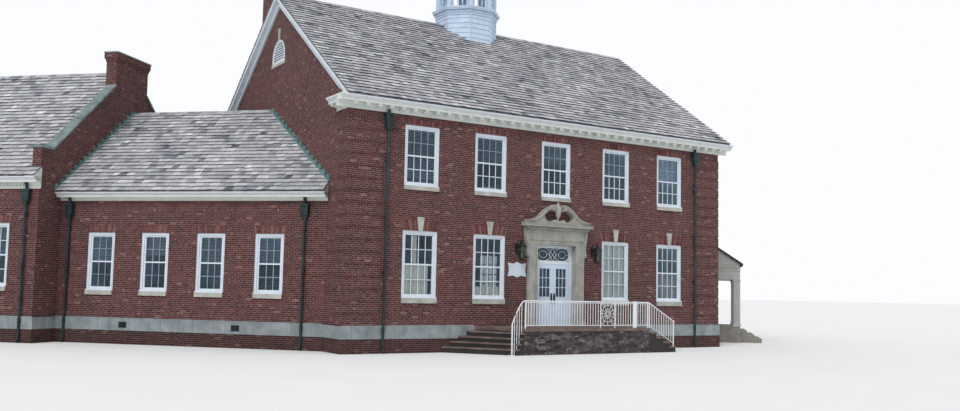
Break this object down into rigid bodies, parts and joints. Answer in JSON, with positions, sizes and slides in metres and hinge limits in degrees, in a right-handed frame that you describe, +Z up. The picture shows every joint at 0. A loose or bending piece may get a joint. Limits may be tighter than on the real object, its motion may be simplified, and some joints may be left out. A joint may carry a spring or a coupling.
{
  "type": "town hall building",
  "caption": "Two-storey brick town hall with a slate gable roof, an octagonal cupola, a stone doorway with opening front doors, and angled one-storey wings.",
  "frame": {"origin": "on the ground under the centre of the front doorway, in the plane of the front wall face", "axes": "+X along the front wall to the right, +Y into the building, +Z up"},
  "size_m": [38.4007, 22.9497, 18.512],
  "materials": {
    "brick": "matt red-brown facing brick with pale mortar",
    "chimney_brick": "matt weathered brick",
    "limestone": "honed limestone, weathered",
    "carved_limestone": "carved limestone, weathered",
    "step_stone": "worn stone",
    "concrete_floor": "trowelled",
    "slate": "riven slate",
    "white_paint": "gloss painted timber",
    "door_paint": "gloss painted timber",
    "glass": "clear window glass",
    "dark_bronze": "dark patinated",
    "copper": "dark weathered copper sheet",
    "white_iron": "white painted wrought iron",
    "plaque_white": "satin white enamel, bare"
  },
  "bodies": {
    "building": {"back_wall": "brick", "brick_base": "brick", "chimneys": "chimney_brick", "cupola_base": "white_paint", "cupola_cap": "white_paint", "cupola_cornice": "white_paint", "cupola_dome": "copper", "cupola_finial": "copper", "cupola_lantern": "white_paint", "door_frame": "white_paint", "downspouts": "copper", "end_block_coping": "limestone", "end_block_gables": "brick", "end_block_walls": "brick", "entrance_cornice": "carved_limestone", "entrance_frieze": "carved_limestone", "entrance_jambs": "carved_limestone", "entrance_pediment": "carved_limestone", "entrance_urn": "carved_limestone", "front_wall_left": "brick", "front_wall_over_door": "brick", "front_wall_right": "brick", "gable_vents": "white_paint", "gable_walls": "brick", "ground_floors": "concrete_floor", "keystones": "limestone", "left_steps": "step_stone", "lower_window_frames": "white_paint", "main_cornice": "white_paint", "main_roof": "slate", "platform_base": "brick", "platform_slab": "step_stone", "railings": "white_iron", "raking_cornices": "white_paint", "right_steps": "step_stone", "side_door": "door_paint", "side_porch_beams": "white_paint", "side_porch_floor": "step_stone", "side_porch_piers": "white_paint", "side_porch_roof": "slate", "upper_floor": "concrete_floor", "upper_window_frames": "white_paint", "wall_lanterns": "copper", "wall_plaque": "plaque_white", "water_table": "limestone", "window_glass": "glass", "window_sills": "limestone", "wing_cornices": "white_paint", "wing_roofs": "slate", "wing_walls": "brick", "wing_window_frames": "white_paint"},
    "left_leaf": {"left_door": "door_paint", "left_door_glass": "glass", "left_door_handle": "dark_bronze"},
    "right_leaf": {"right_door": "door_paint", "right_door_glass": "glass", "right_door_handle": "dark_bronze"}
  },
  "joints": [
    {"name": "left_door_hinge", "type": "hinge", "parent": "building", "child": "left_leaf", "pos_m": [-0.7475, 0.1107, 0.89], "axis": [0, 0, -1], "range_deg": [0, 90]},
    {"name": "right_door_hinge", "type": "hinge", "parent": "building", "child": "right_leaf", "pos_m": [0.7475, 0.1107, 0.89], "axis": [0, 0, 1], "range_deg": [0, 90]}
  ]
}
